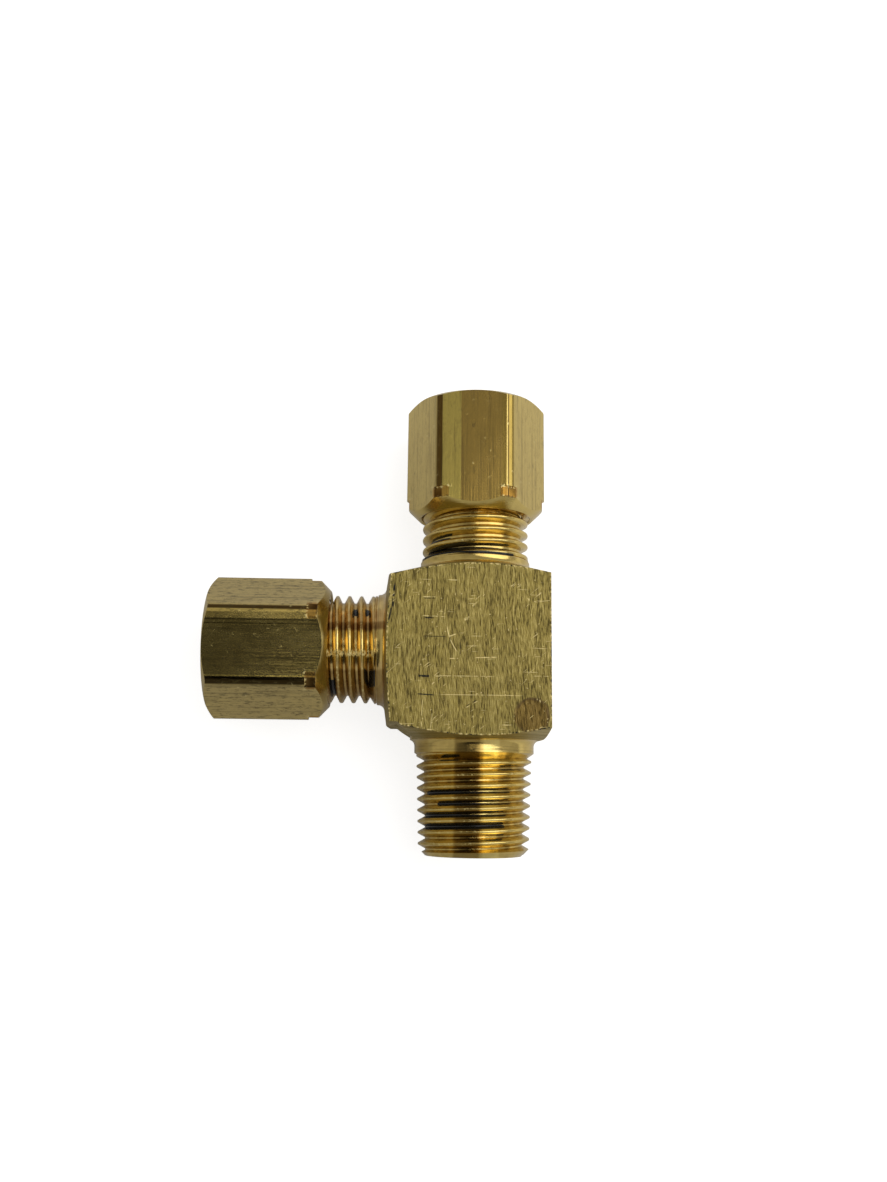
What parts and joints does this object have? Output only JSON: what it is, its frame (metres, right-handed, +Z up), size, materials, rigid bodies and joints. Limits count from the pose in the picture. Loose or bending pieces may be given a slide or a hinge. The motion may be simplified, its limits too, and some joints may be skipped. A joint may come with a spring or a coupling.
{
  "type": "compression run tee",
  "caption": "Brass compression run tee: hex nuts with loose sleeves on one end of the run and on the branch, and a male taper pipe thread on the run's other end.",
  "frame": {"origin": "where the axis of the run crosses the axis of the branch, at mid thickness", "axes": "+Y along the run, towards its compression nut, with the pipe thread towards -Y; -X along the branch, towards its nut; +Z up, square to the two sawn faces, with the tee lying on the lower one"},
  "size_m": [0.0296, 0.0403, 0.0126],
  "materials": {
    "body_brass": "sawn block faces, turned arms",
    "nut_brass": "drawn hexagon flats",
    "sleeve_brass": "turned"
  },
  "bodies": {
    "tee": {"tee_body": "body_brass"},
    "run_sleeve": {"run_sleeve": "sleeve_brass"},
    "run_nut": {"run_nut": "nut_brass"},
    "branch_sleeve": {"branch_sleeve": "sleeve_brass"},
    "branch_nut": {"branch_nut": "nut_brass"}
  },
  "joints": [
    {"name": "run_travel", "type": "slide", "parent": "tee", "child": "run_sleeve", "axis": [0, 1, 0], "range_m": [-0.00026, 0.00423]},
    {"name": "run_nut_turn", "type": "hinge", "parent": "run_sleeve", "child": "run_nut", "pos_m": [0, 0.0172, 0], "axis": [0, 1, 0], "range_deg": [-90, 1440]},
    {"name": "branch_travel", "type": "slide", "parent": "tee", "child": "branch_sleeve", "axis": [-1, 0, 0], "range_m": [-0.00026, 0.00423]},
    {"name": "branch_nut_turn", "type": "hinge", "parent": "branch_sleeve", "child": "branch_nut", "pos_m": [-0.018, 0, 0], "axis": [-1, 0, 0], "range_deg": [-90, 1440]}
  ],
  "couplings": [
    {"joint": "run_nut_turn", "follows": "run_travel", "rad_per_m": 5937.1},
    {"joint": "branch_nut_turn", "follows": "branch_travel", "rad_per_m": 5937.1}
  ]
}
